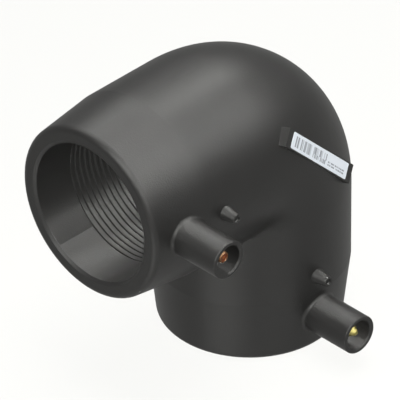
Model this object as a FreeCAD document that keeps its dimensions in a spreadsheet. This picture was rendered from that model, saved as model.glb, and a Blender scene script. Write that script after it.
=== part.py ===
import FreeCAD, Part
import math
import os

import Sketcher
from FreeCAD import Placement, Rotation, Vector

# Electrofusion elbow, 90 degrees, for a 50 mm polyethylene pipe.
# The lower socket opens down and stands on its mouth, the upper socket opens towards -X,
# and both terminals point towards -Y. The origin is the centre of the lower mouth.
# Every body is drawn about the point where the two socket axes meet, and placed above the origin.

DRIVING_SIZES = [
    # sockets, each with a plain zone on both sides of its coil
    ("socket_bore", 50.6),
    ("outer_cold_zone", 16.4),
    ("inner_cold_zone", 6.1),
    ("lead_in_width", 1.1),
    ("lead_in_depth", 0.8),
    # passage between the sockets
    ("bend_radius", 24.0),
    ("passage_straight", 6.7),
    ("stop_height", 3.3),
    # outside of the moulded body
    ("socket_wall", 8.7),
    ("rim_wall", 6.0),
    ("rim_rounding", 2.4),
    ("taper_length", 23.6),
    # fusion coils
    ("turn_count", 10),
    ("turn_pitch", 2.25),
    ("coil_wall", 1.6),
    ("seam_width", 0.5),
    ("seam_depth", 0.35),
    ("wire_diameter", 0.9),
    ("wire_depth", 2.7),
    ("lead_length", 3.5),
    # terminal shrouds
    ("shroud_diameter", 13.9),
    ("shroud_height", 17.7),
    ("shroud_bore", 10.4),
    ("shroud_depth", 15.0),
    ("shroud_lead_in", 0.5),
    ("shroud_root_fillet", 1.0),
    ("shroud_tip_rounding", 0.5),
    ("key_flat_rise", 1.25),
    ("key_flat_angle", 225.0),
    # terminal pins
    ("pin_diameter", 4.0),
    ("pin_chamfer", 0.3),
    ("pin_recess", 3.2),
    ("pin_root", 1.2),
    ("flange_diameter", 6.0),
    ("flange_thickness", 1.5),
    ("marked_pin_recess", 2.2),
    ("marked_pin_wall", 0.5),
    ("plug_length", 4.0),
    ("plug_recess", 0.4),
    ("contact_diameter", 1.2),
    # fusion indicators
    ("indicator_from_face", 30.4),
    ("indicator_offset", 2.0),
    ("indicator_height", 5.1),
    ("indicator_root", 1.0),
    ("indicator_base_diameter", 5.8),
    ("indicator_tip_diameter", 3.5),
    ("indicator_bore", 2.3),
    ("indicator_clearance", 0.05),
    ("indicator_pin_recess", 0.9),
    ("indicator_floor", 1.0),
    # label and its raised pad
    ("pad_length", 42.6),
    ("pad_width", 6.6),
    ("pad_rise", 0.2),
    ("pad_tilt", 19.5),
    ("pad_shift", 0.9),
    ("label_end_margin", 3.1),
    ("label_side_margin", 0.5),
    ("label_thickness", 0.15),
]

# Distances that several pieces share, written once in terms of the driving sizes.
# Those along a socket start from the point where the axes meet, and those across it from its axis.
COIL_LENGTH = "sizes.turn_count * sizes.turn_pitch"
STOP = "(sizes.bend_radius + sizes.passage_straight)"
COIL_END = "(" + STOP + " + sizes.inner_cold_zone)"
COIL_START = "(" + COIL_END + " + " + COIL_LENGTH + ")"
FACE = "(" + COIL_START + " + sizes.outer_cold_zone)"
FIRST_TURN = "(" + COIL_START + " - sizes.turn_pitch / 2)"
LAST_TURN = "(" + COIL_END + " + sizes.turn_pitch / 2)"
TERMINAL_LINE = "(" + FIRST_TURN + " + sizes.lead_length)"
INDICATOR_LINE = "(" + FACE + " - sizes.indicator_from_face)"

BORE_RADIUS = "(sizes.socket_bore / 2)"
PASSAGE_RADIUS = "(" + BORE_RADIUS + " - sizes.stop_height)"
RECESS_RADIUS = "(" + BORE_RADIUS + " + sizes.coil_wall)"
BODY_RADIUS = "(" + BORE_RADIUS + " + sizes.socket_wall)"
RIM_RADIUS = "(" + BORE_RADIUS + " + sizes.rim_wall)"
WIRE_RADIUS = "sizes.wire_diameter / 2"
WIRE_LINE = "(" + RECESS_RADIUS + " + sizes.wire_depth)"
PIN_RADIUS = "sizes.pin_diameter / 2"
PIN_END = "(" + WIRE_LINE + " - sizes.pin_root)"
SHROUD_TIP = "(" + BODY_RADIUS + " + sizes.shroud_height)"
WELL_FLOOR = "(" + SHROUD_TIP + " - sizes.shroud_depth)"
PLUG_RADIUS = "(" + PIN_RADIUS + " - sizes.marked_pin_wall)"
PLUG_FOOT = "(" + SHROUD_TIP + " - sizes.marked_pin_recess - sizes.plug_recess - sizes.plug_length)"
INDICATOR_TIP = "(" + BODY_RADIUS + " + sizes.indicator_height)"
INDICATOR_END = "(" + RECESS_RADIUS + " + sizes.indicator_floor)"
PAD_TOP = "(" + BODY_RADIUS + " + sizes.pad_rise)"

# An edge this close to an end face lies on it.
SLIVER = 0.01

doc = FreeCAD.newDocument("electrofusion_elbow")

sheet = doc.addObject("Spreadsheet::Sheet", "sizes")
for row, (alias, value) in enumerate(DRIVING_SIZES, start=1):
    sheet.set("A%d" % row, alias.replace("_", " "))
    sheet.set("B%d" % row, str(value))
    sheet.setAlias("B%d" % row, alias)
doc.recompute()


def size(alias):
    return float(sheet.get(alias))


def minus(distance):
    return distance if distance == "0" else "-" + distance


def on_front(side, along, aside="0"):
    """Across and up in the front view, for a distance along a socket and one to its side."""
    if side == "upper":
        return minus(along), aside
    return minus(aside), minus(along)


def new_body(name):
    body = doc.addObject("PartDesign::Body", name)
    body.Label = name
    return body


def new_feature(body, kind, name):
    """Add a solid feature. The faces of the crossing sockets stay as they are cut, not merged."""
    feature = body.newObject("PartDesign::" + kind, name)
    feature.Refine = False
    return feature


def origin_feature(body, role):
    return next(item for item in body.Origin.OriginFeatures if item.Role == role)


def attach(item, support, offsets=(), turned_about=None, angle="0"):
    """Lay an item on a plane, moved in that plane's own directions and turned about one of them."""
    item.AttachmentSupport = [(support, "")]
    item.MapMode = "FlatFace"
    if turned_about is not None:
        item.AttachmentOffset = Placement(Vector(), Rotation(turned_about, 1))
        item.setExpression("AttachmentOffset.Rotation.Angle", angle)
    for axis, distance in zip("xyz", offsets):
        if distance != "0":
            item.setExpression("AttachmentOffset.Base." + axis, distance)


def new_sketch(body, name, support, offsets=(), turned_about=None, angle="0"):
    sketch = body.newObject("Sketcher::SketchObject", name)
    attach(sketch, support, offsets, turned_about, angle)
    return sketch


def pin_size(sketch, distance, *constraint):
    """Add a constraint whose size is an expression."""
    number = sketch.addConstraint(Sketcher.Constraint(*constraint, 1.0))
    sketch.setExpression("Constraints[%d]" % number, distance)


def pin_point(sketch, geometry, end, across, up):
    """Fix one point of a sketch at two distances from the sketch's origin."""
    for kind, distance, axis in (("DistanceX", across, -2), ("DistanceY", up, -1)):
        if distance == "0":
            sketch.addConstraint(Sketcher.Constraint("PointOnObject", geometry, end, axis))
        else:
            pin_size(sketch, distance, kind, -1, 1, geometry, end)


def polygon(sketch, corners):
    """Draw a closed outline through corners given as pairs of distances."""
    count = len(corners)
    start = [Vector(math.cos(turn), math.sin(turn), 0)
             for turn in (-2 * math.pi * step / count for step in range(count))]
    for step in range(count):
        sketch.addGeometry(Part.LineSegment(start[step], start[(step + 1) % count]))
    for step in range(count):
        following = (step + 1) % count
        sketch.addConstraint(Sketcher.Constraint("Coincident", step, 2, following, 1))
    for step, (across, up) in enumerate(corners):
        pin_point(sketch, step, 1, across, up)


def open_line(sketch, corners):
    """Draw straight runs from corner to corner, given as pairs of distances."""
    for step in range(len(corners) - 1):
        sketch.addGeometry(Part.LineSegment(Vector(step, 0, 0), Vector(step + 1, 0, 0)))
        if step:
            sketch.addConstraint(Sketcher.Constraint("Coincident", step - 1, 2, step, 1))
        pin_point(sketch, step, 1, *corners[step])
    pin_point(sketch, len(corners) - 2, 2, *corners[-1])


def circle(sketch, across, up, radius):
    ring = sketch.addGeometry(Part.Circle(Vector(1, 1, 0), Vector(0, 0, 1), 1.0))
    pin_point(sketch, ring, 3, across, up)
    pin_size(sketch, radius, "Radius", ring)


def arc_and_chord(sketch, arc):
    """Draw an arc closed by the straight line between its ends."""
    sketch.addGeometry(arc)
    sketch.addGeometry(Part.LineSegment(arc.EndPoint, arc.StartPoint))
    sketch.addConstraint(Sketcher.Constraint("Coincident", 0, 2, 1, 1))
    sketch.addConstraint(Sketcher.Constraint("Coincident", 1, 2, 0, 1))


def turn(body, kind, name, sketch, axis, angle=360):
    """Turn a sketch about its own H_Axis or V_Axis, as a Revolution or a Groove."""
    feature = new_feature(body, kind, name)
    feature.Profile = sketch
    feature.ReferenceAxis = (sketch, [axis])
    feature.Angle = angle
    return feature


def pad(body, name, sketch, length):
    feature = new_feature(body, "Pad", name)
    feature.Profile = sketch
    feature.setExpression("Length", length)
    return feature


def round_edges(body, name, pick, radius):
    """Round the edges that a function picks from the shape of the body's last feature."""
    doc.recompute()
    base = body.Tip
    shape = base.Shape
    picked = pick(shape)
    names = ["Edge%d" % number for number, edge in enumerate(shape.Edges, start=1)
             if any(edge.isSame(wanted) for wanted in picked)]
    if not names:
        raise RuntimeError(name + " found no edge")
    feature = new_feature(body, "Fillet", name)
    feature.Base = (base, names)
    feature.setExpression("Radius", radius)


# The two sockets are alike, so each is drawn by the same function with across and up exchanged.
# The upper socket's axis is the XZ plane's first direction, the lower socket's its second.

def turned_socket(body, kind, side, name, corners):
    sketch = new_sketch(body, side + name + "_outline", origin_feature(body, "XZ_Plane"))
    if side == "upper":
        polygon(sketch, [(minus(along), out) for along, out in corners])
        return turn(body, kind, side + name, sketch, "H_Axis")
    polygon(sketch, [(out, minus(along)) for along, out in corners])
    return turn(body, kind, side + name, sketch, "V_Axis")


def bend_sketch(body, name):
    """A sketch across the upper socket's axis where the bend begins, resting on the bend's own axis."""
    return new_sketch(body, name + "_section", origin_feature(body, "YZ_Plane"),
                      ("0", "-sizes.bend_radius", "-sizes.bend_radius"))


def turned_bend(body, kind, name, radius_text, radius):
    """Turn a round section through the bend. One wider than the bend stops at the bend's own axis."""
    sketch = bend_sketch(body, name)
    rise = size("bend_radius")
    if radius < rise:
        circle(sketch, "0", "sizes.bend_radius", radius_text)
    else:
        foot = math.asin(rise / radius)
        whole = Part.Circle(Vector(0, rise, 0), Vector(0, 0, 1), radius)
        arc_and_chord(sketch, Part.Arc(whole, -foot, math.pi + foot))
        sketch.addConstraint(Sketcher.Constraint("PointOnObject", 0, 1, -1))
        sketch.addConstraint(Sketcher.Constraint("PointOnObject", 0, 2, -1))
        pin_point(sketch, 0, 3, "0", "sizes.bend_radius")
        pin_size(sketch, radius_text, "Radius", 0)
    turn(body, kind, name, sketch, "H_Axis", 90)


def cylinder(body, kind, name, plane, offsets, radius, length):
    """A round solid or hole, square to one of the body's origin planes."""
    feature = new_feature(body, kind + "Cylinder", name)
    attach(feature, origin_feature(body, plane), offsets)
    feature.setExpression("Radius", radius)
    feature.setExpression("Height", length)


def bent_wire(body, kind, name, side, start, last):
    """Wire that runs beside a socket from one distance along it to another, then goes in to the coil."""
    depth = "(" + RECESS_RADIUS + " - " + WIRE_RADIUS + ")"
    corners = [(minus(start), minus(WIRE_LINE)), (minus(last), minus(WIRE_LINE)), (minus(last), minus(depth))]
    path_plane, section_plane, middle = "XY_Plane", "YZ_Plane", (minus(WIRE_LINE), "0")
    if side == "lower":
        corners = [(out, along) for along, out in corners]
        path_plane, section_plane, middle = "YZ_Plane", "XY_Plane", ("0", minus(WIRE_LINE))
    path = new_sketch(body, name + "_path", origin_feature(body, path_plane))
    open_line(path, corners)
    section = new_sketch(body, name + "_section", origin_feature(body, section_plane),
                         ("0", "0", minus(start)))
    circle(section, *middle, WIRE_RADIUS)
    wire = new_feature(body, kind + "Pipe", name)
    wire.Profile = section
    wire.Spine = (path, [])
    wire.Transition = "Right corner"


def seat_on_coil(body, name, side):
    """Cut a wire's end to the outside of the coil that it meets."""
    plane = "YZ_Plane" if side == "upper" else "XY_Plane"
    cylinder(body, "Subtractive", name + "_coil_seat", plane, ("0", "0", minus(COIL_START)),
             RECESS_RADIUS, COIL_LENGTH)


def lead_wire(body, kind, name, side):
    """The short lead from a terminal pin to the first turn of its coil."""
    bent_wire(body, kind, name, side, TERMINAL_LINE, FIRST_TURN)
    if kind == "Additive":
        cylinder(body, "Subtractive", name + "_pin_seat", "XZ_Plane",
                 on_front(side, TERMINAL_LINE) + (PIN_END,), PIN_RADIUS, WELL_FLOOR + " - " + PIN_END)
        seat_on_coil(body, name, side)


def link_wire(body, kind, name):
    """The wire through the bend that joins the inner ends of the two coils."""
    bend = bend_sketch(body, name + "_bend")
    circle(bend, minus(WIRE_LINE), "sizes.bend_radius", WIRE_RADIUS)
    turn(body, "Revolution" if kind == "Additive" else "Groove", name + "_bend", bend, "H_Axis", 90)
    for side in ("upper", "lower"):
        bent_wire(body, kind, name + "_" + side, side, "sizes.bend_radius", LAST_TURN)
    if kind == "Additive":
        for side in ("upper", "lower"):
            seat_on_coil(body, name + "_" + side, side)


def pad_plane(body):
    """The plane of the label pad: through the middle of the bend, tilted outwards."""
    middle = body.newObject("PartDesign::Plane", body.Label + "_bend_middle")
    inset = "-sizes.bend_radius * (1 - cos(45))"
    attach(middle, origin_feature(body, "XZ_Plane"), (inset, inset), Vector(0, 0, -1), "45")
    tilted = body.newObject("PartDesign::Plane", body.Label + "_tilted")
    attach(tilted, middle, (), Vector(-1, 0, 0), "sizes.pad_tilt")
    return tilted


def centred_plate(body, name, level, length, width, thickness):
    """A rectangular plate on the label pad's plane."""
    sketch = new_sketch(body, name + "_outline", pad_plane(body), ("-sizes.pad_shift", "0", level))
    polygon(sketch, [(minus(length), minus(width)), (length, minus(width)),
                     (length, width), (minus(length), width)])
    pad(body, name, sketch, thickness)


def rim_edges(shape):
    """The outer edges of the two socket mouths."""
    left, bottom = shape.BoundBox.XMin + SLIVER, shape.BoundBox.ZMin + SLIVER
    return [edge for edge in shape.Edges if not edge.Degenerated
            and (edge.BoundBox.XMax < left or edge.BoundBox.ZMax < bottom)]


def shroud_edges(shape):
    """Every curved edge of the two shrouds: their roots and their tips."""
    walls = [face for face in shape.Faces if isinstance(face.Surface, Part.Cylinder)
             and abs(face.Surface.Axis.y) > 1 - SLIVER]
    return [edge for face in walls for edge in face.Edges if not isinstance(edge.Curve, Part.Line)]


def shroud_roots(shape):
    return [edge for edge in shroud_edges(shape) if edge.BoundBox.YMax > shape.BoundBox.YMin + SLIVER]


def shroud_tips(shape):
    return [edge for edge in shroud_edges(shape) if edge.BoundBox.YMax < shape.BoundBox.YMin + SLIVER]


def add_shrouds(body):
    """The two terminal shrouds, solid until their wells are cut."""
    sketch = new_sketch(body, "shroud_sections", origin_feature(body, "XZ_Plane"))
    for side in ("upper", "lower"):
        circle(sketch, *on_front(side, TERMINAL_LINE), "sizes.shroud_diameter / 2")
    pad(body, "shrouds", sketch, SHROUD_TIP)
    round_edges(body, "shroud_root_fillets", shroud_roots, "sizes.shroud_root_fillet")
    round_edges(body, "shroud_tip_roundings", shroud_tips, "sizes.shroud_tip_rounding")


def add_indicator_boss(body, side):
    """A small cone that guides the pin which rises when the joint has fused."""
    place = on_front(side, INDICATOR_LINE, "sizes.indicator_offset")
    boss = new_feature(body, "AdditiveCone", side + "_indicator_boss")
    attach(boss, origin_feature(body, "XZ_Plane"), place + (BODY_RADIUS + " - sizes.indicator_root",))
    boss.setExpression("Radius1", "sizes.indicator_base_diameter / 2")
    boss.setExpression("Radius2", "sizes.indicator_tip_diameter / 2")
    boss.setExpression("Height", "sizes.indicator_height + sizes.indicator_root")
    cylinder(body, "Subtractive", side + "_indicator_bore", "XZ_Plane", place + (INDICATOR_END,),
             "sizes.indicator_bore / 2", INDICATOR_TIP + " - " + INDICATOR_END)


def add_shroud_well(body, side):
    """The well round a terminal, with the seat of the pin that is moulded in below it."""
    along = ("0", "0", minus(TERMINAL_LINE)) if side == "lower" else (minus(TERMINAL_LINE),)
    sketch = new_sketch(body, side + "_well_outline", origin_feature(body, "XY_Plane"), along)
    seat_foot = "(" + WELL_FLOOR + " - sizes.flange_thickness)"
    polygon(sketch, [
        ("0", minus(SHROUD_TIP)),
        ("sizes.shroud_bore / 2 + sizes.shroud_lead_in", minus(SHROUD_TIP)),
        ("sizes.shroud_bore / 2", "-(" + SHROUD_TIP + " - sizes.shroud_lead_in)"),
        ("sizes.shroud_bore / 2", minus(WELL_FLOOR)),
        ("sizes.flange_diameter / 2", minus(WELL_FLOOR)),
        ("sizes.flange_diameter / 2", minus(seat_foot)),
        (PIN_RADIUS, minus(seat_foot)),
        (PIN_RADIUS, minus(PIN_END)),
        ("0", minus(PIN_END)),
    ])
    turn(body, "Groove", side + "_well", sketch, "V_Axis")


def add_key_flat(body):
    """A flat along one side of the upper well, which keys the plug that belongs there."""
    place = on_front("upper", TERMINAL_LINE) + (SHROUD_TIP,)
    sketch = new_sketch(body, "key_outline", origin_feature(body, "XZ_Plane"), place,
                        Vector(0, 0, 1), "sizes.key_flat_angle")
    well = Part.Circle(Vector(), Vector(0, 0, 1), size("shroud_bore") / 2)
    arc_and_chord(sketch, Part.Arc(well, -1, 1))
    sketch.addConstraint(Sketcher.Constraint("Coincident", 0, 3, -1, 1))
    sketch.addConstraint(Sketcher.Constraint("Vertical", 1))
    pin_size(sketch, "sizes.shroud_bore / 2 - sizes.key_flat_rise", "DistanceX", -1, 1, 1, 1)
    pin_size(sketch, "sizes.shroud_bore / 2 + sizes.shroud_lead_in", "Radius", 0)
    pad(body, "key_flat", sketch, "sizes.shroud_depth").Reversed = True


def make_elbow_body():
    """The moulded body: bend, two sockets, two shrouds, two indicator bosses and the label pad."""
    body = new_body("elbow_body")
    bore_radius = size("socket_bore") / 2

    turned_bend(body, "Revolution", "bend", BODY_RADIUS, bore_radius + size("socket_wall"))
    for side in ("upper", "lower"):
        turned_socket(body, "Revolution", side, "_socket", [
            ("sizes.bend_radius", "0"),
            ("sizes.bend_radius", BODY_RADIUS),
            ("(" + FACE + " - sizes.taper_length)", BODY_RADIUS),
            (FACE, RIM_RADIUS),
            (FACE, "0"),
        ])
    round_edges(body, "rim_roundings", rim_edges, "sizes.rim_rounding")
    add_shrouds(body)
    for side in ("upper", "lower"):
        add_indicator_boss(body, side)
    centred_plate(body, "label_pad", "0", "sizes.pad_length / 2", "sizes.pad_width / 2", PAD_TOP)

    # The way through: socket bores with the coil seats, pipe stops, and the passage round the bend.
    for side in ("upper", "lower"):
        turned_socket(body, "Groove", side, "_way", [
            ("sizes.bend_radius", "0"),
            ("sizes.bend_radius", PASSAGE_RADIUS),
            (STOP, PASSAGE_RADIUS),
            (STOP, BORE_RADIUS),
            (COIL_END, BORE_RADIUS),
            (COIL_END, RECESS_RADIUS),
            (COIL_START, RECESS_RADIUS),
            (COIL_START, BORE_RADIUS),
            ("(" + FACE + " - sizes.lead_in_depth)", BORE_RADIUS),
            (FACE, BORE_RADIUS + " + sizes.lead_in_width"),
            (FACE, "0"),
        ])
    turned_bend(body, "Groove", "bend_way", PASSAGE_RADIUS, bore_radius - size("stop_height"))

    for side in ("upper", "lower"):
        add_shroud_well(body, side)
    add_key_flat(body)

    # Channels in which the wires lie.
    for side in ("upper", "lower"):
        lead_wire(body, "Subtractive", side + "_lead_channel", side)
    link_wire(body, "Subtractive", "link_channel")
    return body


def make_coil(name):
    """A fusion coil: the turns of coated wire, parted by narrow seams, as one winding."""
    body = new_body(name)
    ring = new_sketch(body, name + "_ring", origin_feature(body, "XZ_Plane"))
    polygon(ring, [(BORE_RADIUS, "0"), (RECESS_RADIUS, "0"), (RECESS_RADIUS, COIL_LENGTH),
                   (BORE_RADIUS, COIL_LENGTH)])
    turn(body, "Revolution", name + "_winding", ring, "V_Axis")
    seam = new_sketch(body, name + "_seam_outline", origin_feature(body, "XZ_Plane"))
    polygon(seam, [(BORE_RADIUS, "sizes.turn_pitch - sizes.seam_width / 2"),
                   (BORE_RADIUS + " + sizes.seam_depth", "sizes.turn_pitch"),
                   (BORE_RADIUS, "sizes.turn_pitch + sizes.seam_width / 2")])
    groove = turn(body, "Groove", name + "_seam", seam, "V_Axis")
    seams = new_feature(body, "LinearPattern", name + "_seams")
    seams.Originals = [groove]
    seams.Direction = (seam, ["V_Axis"])
    seams.setExpression("Length", "sizes.turn_pitch * (sizes.turn_count - 2)")
    seams.setExpression("Occurrences", "sizes.turn_count - 1")
    body.Tip = seams
    return body


def make_turned(name, corners):
    """A turned piece standing on its own XY plane."""
    body = new_body(name)
    sketch = new_sketch(body, name + "_outline", origin_feature(body, "XZ_Plane"))
    polygon(sketch, corners)
    turn(body, "Revolution", name + "_turning", sketch, "V_Axis")
    return body


def pin_corners(recess):
    """Half section of a terminal pin, from its moulded-in end to its tip."""
    flange_top = WELL_FLOOR + " - " + PIN_END
    flange_foot = flange_top + " - sizes.flange_thickness"
    tip = SHROUD_TIP + " - " + recess + " - " + PIN_END
    return [
        ("0", "0"),
        (PIN_RADIUS, "0"),
        (PIN_RADIUS, flange_foot),
        ("sizes.flange_diameter / 2", flange_foot),
        ("sizes.flange_diameter / 2", flange_top),
        (PIN_RADIUS, flange_top),
        (PIN_RADIUS, tip + " - sizes.pin_chamfer"),
        (PIN_RADIUS + " - sizes.pin_chamfer", tip),
        ("0", tip),
    ]


def make_marked_pin():
    """The upper terminal pin: hollow at its tip, where the identification plug sits."""
    corners = pin_corners("sizes.marked_pin_recess")
    tip = corners[-1][1]
    floor = PLUG_FOOT + " - " + PIN_END
    hollow = [(PLUG_RADIUS, tip), (PLUG_RADIUS, floor), ("0", floor)]
    return make_turned("terminal_pin_upper", corners[:-1] + hollow)


def make_plug():
    """The sleeve in the tip of the upper terminal pin."""
    return make_turned("identification_plug", [
        ("sizes.contact_diameter / 2", "0"),
        (PLUG_RADIUS, "0"),
        (PLUG_RADIUS, "sizes.plug_length"),
        ("sizes.contact_diameter / 2", "sizes.plug_length"),
    ])


def make_rod(name, radius, length):
    return make_turned(name, [("0", "0"), (radius, "0"), (radius, length), ("0", length)])


def make_indicator_pin(name):
    radius = "sizes.indicator_bore / 2 - sizes.indicator_clearance"
    length = INDICATOR_TIP + " - sizes.indicator_pin_recess - " + INDICATOR_END
    return make_rod(name, radius, length)


def make_label():
    body = new_body("label")
    centred_plate(body, "label_plate", PAD_TOP, "(sizes.pad_length / 2 - sizes.label_end_margin)",
                  "(sizes.pad_width / 2 - sizes.label_side_margin)", "sizes.label_thickness")
    return body


FORWARD = Rotation(Vector(1, 0, 0), 90)
ALONG_UPPER = Rotation(Vector(0, 1, 0), 90)

parts = []


def stand(body, x="0", y="0", z="0", rotation=Rotation()):
    """Place a body at a distance from the meeting point of the axes, which lies above the origin."""
    body.Placement = Placement(Vector(), rotation)
    if x != "0":
        body.setExpression("Placement.Base.x", x)
    if y != "0":
        body.setExpression("Placement.Base.y", y)
    body.setExpression("Placement.Base.z", FACE if z == "0" else FACE + " + " + z)
    parts.append(body)


def point_forward(body, side, foot, along, aside="0"):
    """Place a turned piece so that it points out of the front, beside a socket's axis."""
    x, z = on_front(side, along, aside)
    stand(body, x, minus(foot), z, FORWARD)


stand(make_elbow_body())
stand(make_coil("fusion_coil_upper"), x=minus(COIL_START), rotation=ALONG_UPPER)
stand(make_coil("fusion_coil_lower"), z=minus(COIL_START))

point_forward(make_marked_pin(), "upper", PIN_END, TERMINAL_LINE)
point_forward(make_plug(), "upper", PLUG_FOOT, TERMINAL_LINE)
contact = make_rod("identification_contact", "sizes.contact_diameter / 2", "sizes.plug_length")
point_forward(contact, "upper", PLUG_FOOT, TERMINAL_LINE)
plain_pin = make_turned("terminal_pin_lower", pin_corners("sizes.pin_recess"))
point_forward(plain_pin, "lower", PIN_END, TERMINAL_LINE)

for side in ("upper", "lower"):
    indicator_pin = make_indicator_pin("indicator_pin_" + side)
    point_forward(indicator_pin, side, INDICATOR_END, INDICATOR_LINE, "sizes.indicator_offset")
    lead = new_body("lead_wire_" + side)
    lead_wire(lead, "Additive", side + "_lead", side)
    stand(lead)

link = new_body("link_wire")
link_wire(link, "Additive", "link")
stand(link)
stand(make_label())

doc.recompute()

for item in doc.Objects:
    if "Invalid" in item.State or "Error" in item.State:
        raise RuntimeError(item.Label + " failed: " + ", ".join(item.State))
for part in parts:
    if part.Shape.isNull() or not part.Shape.isValid() or len(part.Shape.Solids) != 1:
        raise RuntimeError(part.Label + " is not one valid solid")

os.makedirs("parts", exist_ok=True)
for part in parts:
    part.Shape.exportStep("parts/" + part.Label + ".step")
    print("%-24s %10.1f mm3" % (part.Label, part.Shape.Volume))
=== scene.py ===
import math

import bmesh
import bpy
from mathutils import Matrix, Vector
from mathutils.kdtree import KDTree


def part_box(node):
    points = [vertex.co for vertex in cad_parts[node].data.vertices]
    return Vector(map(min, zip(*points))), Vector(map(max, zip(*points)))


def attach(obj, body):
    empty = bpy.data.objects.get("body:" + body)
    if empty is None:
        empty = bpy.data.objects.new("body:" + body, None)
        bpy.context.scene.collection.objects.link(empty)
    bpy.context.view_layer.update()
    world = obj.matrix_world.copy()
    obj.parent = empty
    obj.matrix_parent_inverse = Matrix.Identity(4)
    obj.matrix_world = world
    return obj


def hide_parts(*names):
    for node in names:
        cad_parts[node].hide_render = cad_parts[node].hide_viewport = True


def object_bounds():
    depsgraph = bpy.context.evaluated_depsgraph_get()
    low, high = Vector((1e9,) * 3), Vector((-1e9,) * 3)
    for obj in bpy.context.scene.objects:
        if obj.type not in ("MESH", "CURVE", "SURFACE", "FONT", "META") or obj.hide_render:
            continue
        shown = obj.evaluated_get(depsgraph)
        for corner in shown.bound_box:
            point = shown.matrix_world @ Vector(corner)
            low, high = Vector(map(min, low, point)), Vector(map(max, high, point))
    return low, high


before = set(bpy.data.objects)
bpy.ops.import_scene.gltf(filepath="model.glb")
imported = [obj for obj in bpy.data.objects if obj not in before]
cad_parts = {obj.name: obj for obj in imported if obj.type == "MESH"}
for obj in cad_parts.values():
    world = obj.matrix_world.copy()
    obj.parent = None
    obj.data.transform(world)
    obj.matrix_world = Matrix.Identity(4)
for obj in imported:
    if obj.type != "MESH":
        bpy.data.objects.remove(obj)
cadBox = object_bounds()
mm = 0.001

coilLow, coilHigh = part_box("fusion_coil_upper")
axisHeight = (coilLow.z + coilHigh.z) / 2      # the upper socket's axis, and the meeting point of both
meetingPoint = Vector((0, 0, axisHeight))
mouth = cadBox[0].x                            # the upper socket's face


class Wire:
    # an output socket that can stand in a sum
    def __init__(self, graph, socket):
        self.graph = graph
        self.socket = socket

    def named(self, name):
        return Wire(self.graph, self.socket.node.outputs[name])

    def reckon(self, operation, *terms):
        return self.graph.node("ShaderNodeMath", {"operation": operation}, dict(enumerate(terms)))

    def __add__(self, other):
        return self.reckon("ADD", self, other)

    def __radd__(self, other):
        return self.reckon("ADD", other, self)

    def __sub__(self, other):
        return self.reckon("SUBTRACT", self, other)

    def __rsub__(self, other):
        return self.reckon("SUBTRACT", other, self)

    def __mul__(self, other):
        return self.reckon("MULTIPLY", self, other)

    def __rmul__(self, other):
        return self.reckon("MULTIPLY", other, self)

    def __truediv__(self, other):
        return self.reckon("DIVIDE", self, other)

    def __rtruediv__(self, other):
        return self.reckon("DIVIDE", other, self)

    def __gt__(self, other):
        return self.reckon("GREATER_THAN", self, other)

    def __lt__(self, other):
        return self.reckon("LESS_THAN", self, other)

    def above(self, least):
        return self.reckon("MAXIMUM", self, least)

    def below(self, most):
        return self.reckon("MINIMUM", self, most)

    def size(self):
        return self.reckon("ABSOLUTE", self)

    def part(self):
        return self.reckon("FRACT", self)

    def floor(self):
        return self.reckon("FLOOR", self)

    def root(self):
        return self.reckon("SQRT", self)

    def sine(self):
        return self.reckon("SINE", self)

    def cosine(self):
        return self.reckon("COSINE", self)


class Graph:
    # a node tree whose nodes are all made by one method
    def __init__(self, tree):
        self.tree = tree

    def node(self, kind, settings=None, values=None):
        made = self.tree.nodes.new(kind)
        for name, value in (settings or {}).items():
            setattr(made, name, value)
        for name, value in (values or {}).items():
            if isinstance(value, Wire):
                self.tree.links.new(value.socket, made.inputs[name])
            else:
                made.inputs[name].default_value = value
        return Wire(self, made.outputs[0]) if len(made.outputs) else made

    def blend(self, share, first, second):
        # a Mix node keeps its colours at the inputs 6 and 7 and at the output 2
        mixed = self.node("ShaderNodeMix", {"data_type": "RGBA"}, {0: share, 6: first, 7: second})
        return Wire(self, mixed.socket.node.outputs[2])

    def place(self, offset=(0, 0, 0)):
        spot = self.node("ShaderNodeTexCoord").named("Object")
        moved = {"Vector": spot, "Location": tuple(-value for value in offset)}
        return self.node("ShaderNodeMapping", {"vector_type": "POINT"}, moved)

    def axes(self, spot):
        split = self.node("ShaderNodeSeparateXYZ", None, {0: spot})
        return split.named("X"), split.named("Y"), split.named("Z")

    def noise(self, spot, grain, detail=2.0, roughness=0.5):
        values = {"Vector": spot, "Scale": 1 / grain, "Detail": detail, "Roughness": roughness}
        return self.node("ShaderNodeTexNoise", None, values)

    def relief(self, height, depth, strength=1.0, under=None):
        values = {"Height": height, "Distance": depth, "Strength": strength}
        if under is not None:
            values["Normal"] = under
        return self.node("ShaderNodeBump", None, values)


def newMaterial(name, shade):
    material = bpy.data.materials.new(name)
    material.use_nodes = True
    material.node_tree.nodes.clear()
    graph = Graph(material.node_tree)
    surface = shade(graph)
    graph.node("ShaderNodeOutputMaterial", None, {"Surface": surface})
    return material


def tone(level, warmth=0.0):
    return (level * (1 + warmth), level, level * (1 - warmth), 1.0)


def within(value, low, high):
    return (value > low) * (value < high)


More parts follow.
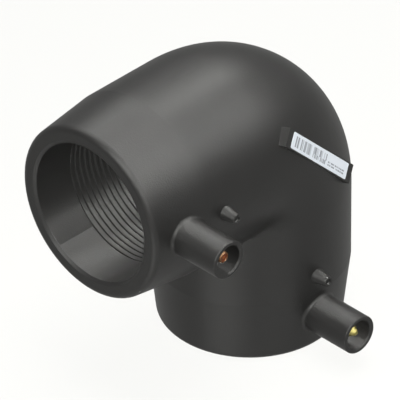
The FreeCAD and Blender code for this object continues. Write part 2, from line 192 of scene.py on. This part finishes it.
bodyLook = {
    "dark": tone(0.0085, 0.03),     # carbon black in polyethylene
    "light": tone(0.0125, 0.02),
    "flow": 9 * mm,                 # broad variation left by the moulding
    "grain": 0.45 * mm,             # the mould's fine spark finish
    "grainDepth": 0.10 * mm,
    "grainStrength": 0.7,
    "waveDepth": 0.05 * mm,
    "waveStrength": 0.6,
    "index": 1.50,
    "roughness": 0.39,
    "roughnessSpread": 0.08,
    "edge": 0.22 * mm,              # what a moulded corner is rounded by
    "seamAngle": math.radians(-54.5),   # the joint line's turn about the axis, from +Y
    "seamStep": 0.12 * mm,          # how far one side of the bore's joint line stands proud of the other
    "seamSwell": 1.15 * mm,         # how far it goes on to swell
    "seamRise": 7 * mm,             # the arc over which it swells
    "seamFade": 79 * mm,            # the arc over which it sinks back
    "boreRadius": 25.3 * mm,
    "boreSlack": 0.1 * mm,          # what still counts as the bore's wall
    "entryStart": 1.2 * mm,         # from the mouth to where the line begins
    "bevelSamples": 4,
}


def boreSeam(graph, spot):
    # the core's joint line in the smooth entry of the upper socket: above it the wall swells and sinks back
    look = bodyLook
    x, y, z = graph.axes(spot)
    height = z - axisHeight
    radius = (y * y + height * height).root()
    inBore = radius < look["boreRadius"] + look["boreSlack"]
    inEntry = within(x, mouth + look["entryStart"], coilLow.x)
    outward = y * math.cos(look["seamAngle"]) + height * math.sin(look["seamAngle"])
    across = height * math.cos(look["seamAngle"]) - y * math.sin(look["seamAngle"])
    arc = across.reckon("ARCTAN2", across, outward) * look["boreRadius"]
    toCrest = (1 - arc / look["seamRise"]).above(0.0)
    fade = (1 - arc / look["seamFade"]).above(0.0)
    swell = look["seamStep"] + look["seamSwell"] * (1 - toCrest * toCrest)
    return (arc > 0.0) * swell * fade * inBore * inEntry


# painted shade in the upper terminal's well: its colour, roughness and specular darken the plastic there as
# if it lay in shade
paintedWellShade = {
    "radius": 5.3 * mm,
    "lit": 0.5 * mm,                # how far in its mouth stays lit
    "depth": 14 * mm,               # how far in the shade ends
    "share": 0.65,                  # how much of the plastic's own look the shade takes
    "colour": tone(0.003),
    "roughness": 0.8,
    "specular": 0.1,
}


def paintedWellShadeShare(graph, spot):
    # painted shade inside the keyed well of the upper terminal: a near-black, matt shader is mixed over the
    # plastic there to stand in for the shade deep in the well
    low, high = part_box("terminal_pin_upper")
    x, y, z = graph.axes(spot)
    aside, height = x - (low.x + high.x) / 2, z - (low.z + high.z) / 2
    inside = (aside * aside + height * height).root() < paintedWellShade["radius"]
    face = cadBox[0].y
    return paintedWellShade["share"] * inside * within(y, face + paintedWellShade["lit"], face + paintedWellShade["depth"])


def shadeBody(graph):
    look = bodyLook
    spot = graph.place()
    broad = graph.noise(spot, look["flow"], 3.0)
    grain = graph.noise(spot, look["grain"], 2.0, 0.6)
    rounded = graph.node("ShaderNodeBevel", {"samples": look["bevelSamples"]}, {"Radius": look["edge"]})
    waves = graph.relief(broad, look["waveDepth"], look["waveStrength"], rounded)
    seam = graph.relief(boreSeam(graph, spot), 1.0, 1.0, waves)        # its height is in metres already
    skin = graph.relief(grain, look["grainDepth"], look["grainStrength"], seam)
    plastic = graph.node("ShaderNodeBsdfPrincipled", None, {
        "Base Color": graph.blend(broad, look["dark"], look["light"]),
        "Roughness": look["roughness"] + look["roughnessSpread"] * (grain - 0.5),
        "IOR": look["index"],
        "Normal": skin,
    })
    # the painted shade for the upper well, mixed over the plastic below
    paintedShade = graph.node("ShaderNodeBsdfPrincipled", None, {
        "Base Color": paintedWellShade["colour"],
        "Roughness": paintedWellShade["roughness"],
        "Specular IOR Level": paintedWellShade["specular"],
    })
    return graph.node("ShaderNodeMixShader", None, {0: paintedWellShadeShare(graph, spot), 1: plastic, 2: paintedShade})


coilLook = {
    "band": tone(0.012, 0.02),
    # groove: a darker colour deep in the seams between turns, which is painted shade
    "groove": tone(0.003),
    "grain": 0.8 * mm,
    "grainDepth": 0.015 * mm,
    "grainStrength": 0.6,
    "roughness": 0.32,
    "grooveRoughness": 0.5,         # what a seam adds to it
    "roughnessSpread": 0.06,
    "grooveStart": 0.10 * mm,       # how far past the bore the dark of a seam begins
    "grooveFull": 0.25 * mm,
    "boreRadius": 25.3 * mm,
}


def shadeCoil(direction):
    # direction is "upper" or "lower": which axis the windings go round
    def shade(graph):
        look = coilLook
        spot = graph.place()
        x, y, z = graph.axes(spot)
        sideways = (z - axisHeight) if direction == "upper" else x
        radius = (y * y + sideways * sideways).root()
        # deeper in a seam the colour darkens, which is painted shade, and the surface grows rougher
        depth = radius - (look["boreRadius"] + look["grooveStart"])
        share = (depth / (look["grooveFull"] - look["grooveStart"])).above(0.0).below(1.0)
        grain = graph.noise(spot, look["grain"], 2.0)
        return graph.node("ShaderNodeBsdfPrincipled", None, {
            "Base Color": graph.blend(share, look["band"], look["groove"]),
            "Roughness": look["roughness"] + look["grooveRoughness"] * share
            + look["roughnessSpread"] * (grain - 0.5),
            "Normal": graph.relief(grain, look["grainDepth"], look["grainStrength"]),
        })
    return shade


tarnishStart = 0.45                 # the noise at which tarnish begins, and how steeply it grows
tarnishSlope = 3.0
tarnishRoughness = 0.12
markRoughness = 0.08
markStrength = 0.5


def shadeMetal(look, centre):
    # turned metal whose fine tool marks run round the pin's axis
    def shade(graph):
        spot = graph.place((centre.x, 0, centre.z))
        x, y, z = graph.axes(spot)
        radius = (x * x + z * z).root()
        marks = graph.node("ShaderNodeTexNoise", {"noise_dimensions": "2D"}, {
            "Vector": graph.node("ShaderNodeCombineXYZ", None, {0: radius, 1: y}),
            "Scale": 1 / look["marks"], "Detail": 1.0,
        })
        tarnish = graph.noise(spot, look["tarnishGrain"], 3.0)
        share = ((tarnish - tarnishStart) * tarnishSlope).above(0.0).below(1.0)
        return graph.node("ShaderNodeBsdfPrincipled", None, {
            "Base Color": graph.blend(share, look["bright"], look["dull"]),
            "Metallic": 1.0,
            "Roughness": look["roughness"] + tarnishRoughness * share + markRoughness * (marks - 0.5),
            "Normal": graph.relief(marks, look["markDepth"], markStrength),
        })
    return shade


brassLook = {
    "bright": (0.42, 0.37, 0.14, 1),
    "dull": (0.26, 0.22, 0.07, 1),
    "marks": 0.12 * mm, "markDepth": 0.004 * mm, "tarnishGrain": 1.6 * mm, "roughness": 0.38,
}
rosyLook = {
    "bright": (0.24, 0.14, 0.08, 1),
    "dull": (0.15, 0.07, 0.035, 1),
    "marks": 0.12 * mm, "markDepth": 0.004 * mm, "tarnishGrain": 1.2 * mm, "roughness": 0.46,
}
contactLook = {
    "bright": (0.44, 0.16, 0.06, 1),
    "dull": (0.30, 0.09, 0.03, 1),
    "marks": 0.12 * mm, "markDepth": 0.004 * mm, "tarnishGrain": 1.2 * mm, "roughness": 0.36,
}
wireLook = {
    "bright": (0.80, 0.38, 0.20, 1),
    "dull": (0.52, 0.22, 0.11, 1),
    "marks": 0.2 * mm, "markDepth": 0.003 * mm, "tarnishGrain": 1.5 * mm, "roughness": 0.3,
}


cloudRoughness = 0.1
cloudStrength = 0.5


def shadePlastic(look):
    def shade(graph):
        spot = graph.place()
        cloud = graph.noise(spot, look["cloud"], 3.0)
        return graph.node("ShaderNodeBsdfPrincipled", None, {
            "Base Color": graph.blend(cloud, look["deep"], look["pale"]),
            "Roughness": look["roughness"] + cloudRoughness * (cloud - 0.5),
            "Normal": graph.relief(cloud, look["depth"], cloudStrength),
        })
    return shade


plugLook = {
    "deep": (0.06, 0.010, 0.002, 1), "pale": (0.15, 0.030, 0.006, 1),
    "cloud": 0.7 * mm, "depth": 0.02 * mm, "roughness": 0.42,
}
indicatorLook = {
    "deep": tone(0.010), "pale": tone(0.016),
    "cloud": 0.6 * mm, "depth": 0.02 * mm, "roughness": 0.4,
}

labelLook = {
    "paper": (0.62, 0.66, 0.72, 1),
    "ink": (0.10, 0.11, 0.13, 1),
    "border": 0.055,                # unprinted edge, as a share of the label's length
    "barEnd": 0.62,                 # bars up to here, blocks and lines past it
    "barFoot": 0.17,                # where the bars begin and end, as a share of the label's width
    "barHead": 0.83,
    "bars": 100.0,
    "barGaps": 0.35,                # the share of columns that stay bare
    "barInk": 0.25,                 # the least that a bar is inked, and how much more the darkest is
    "barSpread": 0.65,
    "inkDraw": 500.0,               # sets the draw of a bar's ink apart from the draw of the bar
    "tier": 0.42,                   # past tierStart the bars below this are others than those above
    "tierStart": 0.38,
    "tierDraw": 300.0,
    "rows": 6.0,
    "rowFoot": 0.25,                # the inked part of a row's height
    "rowHead": 0.80,
    "lowRows": 2.5,                 # rows below the one and above the other are printed
    "highRows": 4.5,
    "rowDraw": 197.0,
    "blockStart": 0.65,
    "blockFoot": 0.14,
    "blockHead": 0.86,
    "blockFineness": 1.3,           # blocks to a bar
    "blockGaps": 0.35,
    "blockInk": 0.75,
    "roughness": 0.38,
    "roughnessSpread": 0.08,
    "inkGloss": 0.06,
    "grain": 0.35 * mm,
    "grainDepth": 0.01 * mm,
    "grainStrength": 0.3,
}


def chance(graph, number):
    return graph.node("ShaderNodeTexWhiteNoise", {"noise_dimensions": "1D"}, {"W": number + 0.5})


def barInk(graph, along, across):
    look = labelLook
    lowTier = (across < look["tier"]) * (along > look["tierStart"])
    column = (along * look["bars"]).floor() + lowTier * look["tierDraw"]
    ink = look["barInk"] + look["barSpread"] * chance(graph, column + look["inkDraw"])
    inked = (chance(graph, column) > look["barGaps"]) * ink
    area = within(along, look["border"], look["barEnd"]) * within(across, look["barFoot"], look["barHead"])
    return inked * area


def blockInk(graph, along, across):
    look = labelLook
    row = (across * look["rows"]).floor()
    cell = (along * look["bars"] * look["blockFineness"]).floor() + row * look["rowDraw"]
    rowPart = within((across * look["rows"]).part(), look["rowFoot"], look["rowHead"])
    kept = ((row < look["lowRows"]) + (row > look["highRows"])).below(1.0)
    area = within(along, look["blockStart"], 1 - look["border"]) \
        * within(across, look["blockFoot"], look["blockHead"])
    return (chance(graph, cell) > look["blockGaps"]) * rowPart * kept * area * look["blockInk"]


def shadeLabel(graph):
    # generic print: a run of fine bars, then a heading line and short lines of blocks
    look = labelLook
    sheet = graph.node("ShaderNodeUVMap", {"uv_map": "sheet"})
    along, across, spare = graph.axes(sheet)
    ink = barInk(graph, along, across) + blockInk(graph, along, across)
    grain = graph.noise(graph.place(), look["grain"], 2.0)
    return graph.node("ShaderNodeBsdfPrincipled", None, {
        "Base Color": graph.blend(ink, look["paper"], look["ink"]),
        "Roughness": look["roughness"] + look["roughnessSpread"] * (grain - 0.5) - look["inkGloss"] * ink,
        "Normal": graph.relief(grain, look["grainDepth"], look["grainStrength"]),
    })


def setMaterial(piece, material):
    piece.data.materials.clear()
    piece.data.materials.append(material)


def addPiece(name, mesh, material, node):
    piece = bpy.data.objects.new(name, mesh)
    bpy.context.scene.collection.objects.link(piece)
    setMaterial(piece, material)
    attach(piece, "root")
    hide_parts(node)
    return piece


# the tree's inputs, by their names
windings = {
    "Turns": 10, "Pitch": 2.25 * mm, "Bore Radius": 25.3 * mm, "Wall": 1.6 * mm,
    "Seam Width": 0.6 * mm, "Seam Depth": 0.8 * mm, "Crown": 0.07 * mm,
    "Steps per Turn": 12, "Steps Around": 180,
}
windingCrease = math.radians(60)


def windingTree():
    # a sleeve whose inner face has one helical seam: each turn is a band that bulges a little to the bore
    tree = bpy.data.node_groups.new("windings", "GeometryNodeTree")
    tree.interface.new_socket("Geometry", in_out="INPUT", socket_type="NodeSocketGeometry")
    for name, value in windings.items():
        kind = "NodeSocketInt" if isinstance(value, int) else "NodeSocketFloat"
        tree.interface.new_socket(name, in_out="INPUT", socket_type=kind)
    tree.interface.new_socket("Start", in_out="INPUT", socket_type="NodeSocketFloat")
    tree.interface.new_socket("Material", in_out="INPUT", socket_type="NodeSocketMaterial")
    tree.interface.new_socket("Geometry", in_out="OUTPUT", socket_type="NodeSocketGeometry")
    graph = Graph(tree)
    given = graph.node("NodeGroupInput")
    along = given.named("Turns") * given.named("Steps per Turn")       # steps from end to end

    def ring(count, name):
        # a closed curve of that many points, each of which knows its number
        circle = graph.node("GeometryNodeCurvePrimitiveCircle", None, {"Resolution": count})
        number = graph.node("GeometryNodeInputIndex")
        return graph.node("GeometryNodeStoreNamedAttribute", {"data_type": "FLOAT", "domain": "POINT"},
                          {"Geometry": circle, "Name": name, "Value": number})

    section = ring(along + 3, "stepAlong")
    path = ring(given.named("Steps Around"), "stepAround")
    sleeve = graph.node("GeometryNodeCurveToMesh", None, {"Curve": path, "Profile Curve": section})

    def read(name):
        return graph.node("GeometryNodeInputNamedAttribute", {"data_type": "FLOAT"}, {"Name": name})

    # the section's last two points are the outer wall's ends: the far end first, then the near one
    step = read("stepAlong")
    outer = step > along + 0.5
    stepLength = given.named("Pitch") / given.named("Steps per Turn")
    place = step.below(along) * (step < along + 1.5) * stepLength
    angle = read("stepAround") * (2 * math.pi) / given.named("Steps Around")
    phase = (place / given.named("Pitch") + angle / (2 * math.pi)).part()
    fromBand = (phase * 2 - 1).size()                   # 0 in a band's middle, 1 at its seam
    toSeam = (1 - fromBand) * given.named("Pitch") / 2
    seam = (1 - toSeam / (given.named("Seam Width") / 2)).above(0.0)
    dip = given.named("Crown") * fromBand * fromBand + given.named("Seam Depth") * seam.root()
    radius = given.named("Bore Radius") + (1 - outer) * dip.below(given.named("Seam Depth")) \
        + outer * given.named("Wall")
    spot = graph.node("ShaderNodeCombineXYZ", None, {
        0: given.named("Start") + place, 1: radius * angle.cosine(), 2: radius * angle.sine()})
    shaped = graph.node("GeometryNodeSetPosition", None, {"Geometry": sleeve, "Position": spot})
    real = graph.node("GeometryNodeRealizeInstances", None, {"Geometry": shaped})
    dressed = graph.node("GeometryNodeSetMaterial", None,
                         {"Geometry": real, "Material": given.named("Material")})
    graph.node("NodeGroupOutput", None, {"Geometry": dressed})
    return tree


def windingMesh(name, material):
    base = bpy.data.objects.new(name + "_base", bpy.data.meshes.new(name + "_base"))
    bpy.context.scene.collection.objects.link(base)
    modifier = base.modifiers.new("windings", "NODES")
    modifier.node_group = windingTree()
    wanted = dict(windings, Start=coilLow.x, Material=material)
    for item in modifier.node_group.interface.items_tree:
        if item.in_out == "INPUT" and item.name in wanted:
            modifier[item.identifier] = wanted[item.name]
    bpy.context.view_layer.update()
    evaluated = base.evaluated_get(bpy.context.evaluated_depsgraph_get())
    mesh = bpy.data.meshes.new_from_object(evaluated)
    bpy.data.objects.remove(base)
    mesh.name = name
    mesh.set_sharp_from_angle(angle=windingCrease)
    return mesh


def faceOutwards(mesh):
    shape = bmesh.new()
    shape.from_mesh(mesh)
    bmesh.ops.recalc_face_normals(shape, faces=shape.faces)
    shape.to_mesh(mesh)
    shape.free()


def addWindings():
    # both have the upper socket's form, and the lower one is turned to point down
    turned = Matrix(((0, 0, -1), (0, 1, 0), (1, 0, 0))).to_4x4()
    for direction in ("upper", "lower"):
        material = newMaterial("windings_" + direction, shadeCoil(direction))
        mesh = windingMesh("windings_" + direction, material)
        if direction == "lower":
            mesh.transform(turned)
        mesh.transform(Matrix.Translation(meetingPoint))
        faceOutwards(mesh)
        for face in mesh.polygons:
            face.use_smooth = True
        addPiece("windings_" + direction, mesh, material, "fusion_coil_" + direction)


stickerSize = {
    "length": 36.4 * mm, "width": 5.6 * mm, "thickness": 0.15 * mm, "corner": 0.5 * mm,
    "cornerSteps": 6, "tilt": math.radians(19.5),
}


def stickerAxes():
    # along the bend's diagonal, then up across the label, then out of it
    half = math.sqrt(0.5)
    tilt = stickerSize["tilt"]
    out = Vector((math.sin(tilt) * half, -math.cos(tilt), math.sin(tilt) * half))
    along = Vector((half, 0, -half))
    return along, out.cross(along), out


def addLabel():
    size = stickerSize
    low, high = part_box("label")
    along, up, out = stickerAxes()
    outline = []
    halfLength, halfWidth = size["length"] / 2 - size["corner"], size["width"] / 2 - size["corner"]
    corners = ((1, 1, 0), (-1, 1, 90), (-1, -1, 180), (1, -1, 270))
    for sideX, sideY, start in corners:
        for step in range(size["cornerSteps"] + 1):
            angle = math.radians(start + 90 * step / size["cornerSteps"])
            outline.append((sideX * halfLength + size["corner"] * math.cos(angle),
                            sideY * halfWidth + size["corner"] * math.sin(angle)))
    count = len(outline)
    points = []
    for level in (-size["thickness"] / 2, size["thickness"] / 2):
        points += [along * u + up * v + out * level + (low + high) / 2 for u, v in outline]
    faces = [tuple(reversed(range(count))), tuple(range(count, 2 * count))]
    faces += [(k, (k + 1) % count, count + (k + 1) % count, count + k) for k in range(count)]
    mesh = bpy.data.meshes.new("label_sheet")
    mesh.from_pydata(points, [], faces)
    sheet = mesh.uv_layers.new(name="sheet")
    for loop in mesh.loops:
        u, v = outline[loop.vertex_index % count]
        sheet.data[loop.index].uv = (u / size["length"] + 0.5, v / size["width"] + 0.5)
    faceOutwards(mesh)
    addPiece("label_sheet", mesh, newMaterial("label_print", shadeLabel), "label")


mouldingSize = {
    "weld": 0.001 * mm,             # points closer than this are one
    "bend": 24 * mm,                # from the meeting point down to the end of the bend
    "wall": 34 * mm,                # the socket's outer radius there
    "near": 0.01 * mm,
    "fold": 0.5 * mm,               # how far past that end a point may fold
}


def mouldingMesh():
    # the body's own mesh, joined up, with what folds past the end of the bend laid back on its edge
    size = mouldingSize
    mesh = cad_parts["elbow_body"].data
    edge = axisHeight - size["bend"]
    numbers, points, corner = {}, [], []
    for vertex in mesh.vertices:
        key = tuple(round(value / size["weld"]) for value in vertex.co)
        if key not in numbers:
            numbers[key] = len(points)
            points.append(vertex.co.copy())
        corner.append(numbers[key])

    def onEdge(point):
        offWall = abs(math.hypot(point.x, point.y) - size["wall"])
        return abs(point.z - edge) < size["weld"] and offWall < size["near"]

    def folded(point):
        pastEdge = edge - size["fold"] < point.z < edge - size["weld"]
        return pastEdge and point.x > size["near"] - size["bend"]

    ring = [number for number, point in enumerate(points) if onEdge(point)]
    tree = KDTree(len(ring))
    for number in ring:
        tree.insert(points[number], number)
    tree.balance()
    moved = {number: tree.find(point)[1] for number, point in enumerate(points) if folded(point)}

    faces, normals = [], []
    for face in mesh.polygons:
        loop = [moved.get(corner[place], corner[place]) for place in face.vertices]
        if len(set(loop)) == len(loop):
            faces.append(loop)
            normals += [tuple(mesh.corner_normals[place].vector) for place in face.loop_indices]
    used = sorted({number for loop in faces for number in loop})
    renumbered = {number: index for index, number in enumerate(used)}
    loops = [[renumbered[number] for number in loop] for loop in faces]
    made = bpy.data.meshes.new("moulding")
    made.from_pydata([points[number] for number in used], [], loops)
    for face in made.polygons:
        face.use_smooth = True
    made.normals_split_custom_set(normals)
    return made


def addMoulding():
    addPiece("moulding", mouldingMesh(), newMaterial("moulded_black", shadeBody), "elbow_body")


brassPin = {
    "coneFoot": 0.2 * mm,           # how far back from the solid's flat tip the cone begins
    "coneLength": 2.0 * mm,
    "tipRadius": 0.8 * mm,
    "tipRounding": 0.25 * mm,
    "roundingSide": 0.3,            # the rounding's middle point, as shares of the rounding
    "roundingRise": 0.25,
    "segments": 64,
    "crease": math.radians(35),
    "near": 0.001 * mm,             # within this, two measures are the same
}


def turnedMesh(name, profile, centre):
    # a closed turning about a line along Y: the profile is pairs of radius and place along the line
    segments = brassPin["segments"]
    points = [Vector((centre.x, profile[0][1], centre.z))]
    for radius, place in profile[1:-1]:
        for step in range(segments):
            angle = 2 * math.pi * step / segments
            x, z = radius * math.cos(angle), radius * math.sin(angle)
            points.append(Vector((centre.x + x, place, centre.z + z)))
    points.append(Vector((centre.x, profile[-1][1], centre.z)))
    rings = len(profile) - 2
    last = len(points) - 1
    faces = []
    for step in range(segments):
        following = (step + 1) % segments
        faces.append((0, 1 + step, 1 + following))
        for ring in range(rings - 1):
            low, high = 1 + ring * segments, 1 + (ring + 1) * segments
            faces.append((low + step, high + step, high + following, low + following))
        top = 1 + (rings - 1) * segments
        faces.append((top + step, last, top + following))
    mesh = bpy.data.meshes.new(name)
    mesh.from_pydata(points, [], faces)
    faceOutwards(mesh)
    for face in mesh.polygons:
        face.use_smooth = True
    mesh.set_sharp_from_angle(angle=brassPin["crease"])
    return mesh


def addBrassPin():
    size = brassPin
    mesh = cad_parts["terminal_pin_lower"].data
    low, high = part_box("terminal_pin_lower")
    centre = (low + high) / 2
    flange, near = (high.x - low.x) / 2, size["near"]

    def fromAxis(point):
        return math.hypot(point.x - centre.x, point.z - centre.z)

    # where the solid's flange begins and ends, and how thick its shank is
    rings = sorted({round(vertex.co.y / near) * near for vertex in mesh.vertices
                    if abs(fromAxis(vertex.co) - flange) < near})
    shank = max(fromAxis(vertex.co) for vertex in mesh.vertices if vertex.co.y < rings[0] - near)
    foot = low.y + size["coneFoot"]
    tip = foot - size["coneLength"]
    profile = [(0, high.y), (shank, high.y), (shank, rings[-1]), (flange, rings[-1]), (flange, rings[0]),
               (shank, rings[0]), (shank, foot)]
    tipRadius, rounding = size["tipRadius"], size["tipRounding"]
    slope = (shank - tipRadius) / size["coneLength"]
    profile += [(tipRadius + slope * rounding, tip + rounding),
                (tipRadius - size["roundingSide"] * rounding, tip + size["roundingRise"] * rounding),
                (tipRadius - rounding, tip), (0, tip)]
    material = newMaterial("brass_pin", shadeMetal(brassLook, centre))
    addPiece("brass_pin", turnedMesh("brass_pin", profile, centre), material,
             "terminal_pin_lower")


def dressFrame():
    # CAD nodes whose shape is right keep it and get their finish
    def middle(node):
        low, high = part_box(node)
        return (low + high) / 2

    rosyMetal = shadeMetal(rosyLook, middle("terminal_pin_upper"))
    contactMetal = shadeMetal(contactLook, middle("identification_contact"))
    finishes = {
        "terminal_pin_upper": newMaterial("rosy_pin", rosyMetal),
        "identification_plug": newMaterial("orange_plug", shadePlastic(plugLook)),
        "identification_contact": newMaterial("contact", contactMetal),
    }
    indicator = newMaterial("indicator_black", shadePlastic(indicatorLook))
    copper = newMaterial("copper_wire", shadeMetal(wireLook, meetingPoint))
    for node in ("indicator_pin_upper", "indicator_pin_lower"):
        finishes[node] = indicator
    for node in ("lead_wire_upper", "lead_wire_lower", "link_wire"):
        finishes[node] = copper
    for node, material in finishes.items():
        setMaterial(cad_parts[node], material)


floorSet = {
    "halfWidth": 5.0,
    "pale": tone(0.30),                     # what a camera ray finds: paper, with a glow that thins
    "glow": 0.38,                           # the shadow on it
    "dim": tone(0.09),                      # what lights the object from below
}
glossyShare = 0.3                           # how much of the pale floor and sky a glossy ray finds


def backgroundShare(graph):
    # all of it for the camera and through clear pieces, a part of it in what shines
    path = graph.node("ShaderNodeLightPath")
    seen = path.named("Is Camera Ray") + path.named("Is Transmission Ray") \
        + glossyShare * path.named("Is Glossy Ray")
    return seen.below(1.0)


def shadeFloor(graph):
    seen = backgroundShare(graph)
    colour = graph.blend(seen, floorSet["dim"], floorSet["pale"])
    paper = graph.node("ShaderNodeBsdfDiffuse", None, {"Color": colour})
    glow = graph.node("ShaderNodeEmission", None, {"Strength": seen * floorSet["glow"]})
    return graph.node("ShaderNodeAddShader", None, {0: paper, 1: glow})


def addFloor():
    half = floorSet["halfWidth"]
    mesh = bpy.data.meshes.new("floor")
    corners = [(-half, -half, 0), (half, -half, 0), (half, half, 0), (-half, half, 0)]
    mesh.from_pydata(corners, [], [(0, 1, 2, 3)])
    floor = bpy.data.objects.new("floor", mesh)
    bpy.context.scene.collection.objects.link(floor)
    setMaterial(floor, newMaterial("pale_floor", shadeFloor))


skySet = {"seen": tone(1.0), "dim": tone(0.0)}


def addSky():
    world = bpy.data.worlds.new("studio")
    world.use_nodes = True
    world.node_tree.nodes.clear()
    bpy.context.scene.world = world
    graph = Graph(world.node_tree)
    colour = graph.blend(backgroundShare(graph), skySet["dim"], skySet["seen"])
    sky = graph.node("ShaderNodeBackground", None, {"Color": colour})
    graph.node("ShaderNodeOutputWorld", None, {"Surface": sky})


# studio lamps round the object: each one's turn from +X and height in degrees, its size in metres, and how
# bright its face is, where 1 is white
lamps = {
    "key": (0, 90, 0.9, 2.0),               # the one that casts the soft shadow on the floor
    "rearFill": (45, 43, 0.8, 0.66),
    "frontFill": (270, 43, 0.8, 3.5),
    "rightFill": (315, 43, 0.8, 2.7),
    "rearLow": (0, 25, 0.4, 0.7),
    "leftLow": (180, 25, 0.4, 10.3),
    "cornerLow": (225, 25, 0.4, 10.6),
    "rearA": (22.5, 50, 0.4, 7.1),
    "rearB": (67.5, 50, 0.4, 7.0),
    "rearC": (112.5, 50, 0.4, 7.3),
    "left": (202.5, 50, 0.4, 14.0),
    "right": (292.5, 50, 0.4, 2.8),
    "rightRear": (337.5, 50, 0.4, 1.6),
    "highRear": (0, 70, 0.4, 3.0),
    "highRight": (315, 70, 0.4, 4.3),
    "underLeft": (195, -37, 0.8, 1.1),
    "underFront": (255, -37, 0.8, 0.36),
    "below": (0, -90, 0.8, 0.17),
}
lampDistance = 1.3
lampLevel = 1.04                            # brings all of them up or down
lampTint = (1.0, 1.0, 0.965)


def addLamps():
    for name, (turn, height, size, radiance) in lamps.items():
        light = bpy.data.lights.new(name, "AREA")
        light.shape = "SQUARE"
        light.size = size
        light.energy = lampLevel * radiance * math.pi * size * size
        light.color = lampTint
        light.use_shadow = name == "key"
        light.cycles.use_multiple_importance_sampling = False
        lamp = bpy.data.objects.new(name, light)
        bpy.context.scene.collection.objects.link(lamp)
        back = Matrix.Rotation(math.radians(turn), 3, "Z") \
            @ Matrix.Rotation(-math.radians(height), 3, "Y") @ Vector((1, 0, 0))
        lamp.rotation_euler = back.to_track_quat("Z", "Y").to_euler()
        lamp.location = meetingPoint + back * lampDistance
        lamp.visible_camera = False


cameraSet = {
    "lens": 1500.0,                 # so long a lens keeps parallel lines parallel, as in the photograph
    "span": 133.33 * mm,            # what the picture's width takes in at the object
    "right": -16.66 * mm,           # the picture's middle, from the meeting point
    "up": -26.35 * mm,
}


def addCamera():
    look = Vector((1, 1, -1)).normalized()
    right = Vector((1, -1, 0)).normalized()
    up = right.cross(look)
    lens = bpy.data.cameras.new("camera")
    lens.lens = cameraSet["lens"]
    distance = cameraSet["span"] * lens.lens / lens.sensor_width
    lens.clip_end = 4 * distance
    camera = bpy.data.objects.new("camera", lens)
    bpy.context.scene.collection.objects.link(camera)
    aim = meetingPoint + right * cameraSet["right"] + up * cameraSet["up"]
    camera.location = aim - look * distance
    camera.rotation_euler = look.to_track_quat("-Z", "Y").to_euler()
    bpy.context.scene.camera = camera


print("windings")
addWindings()
print("label")
addLabel()
print("moulding")
addMoulding()
print("pin")
addBrassPin()
print("finishes")
dressFrame()
print("studio")
addFloor()
addSky()
addLamps()
addCamera()
bpy.context.scene.view_settings.view_transform = "Standard"
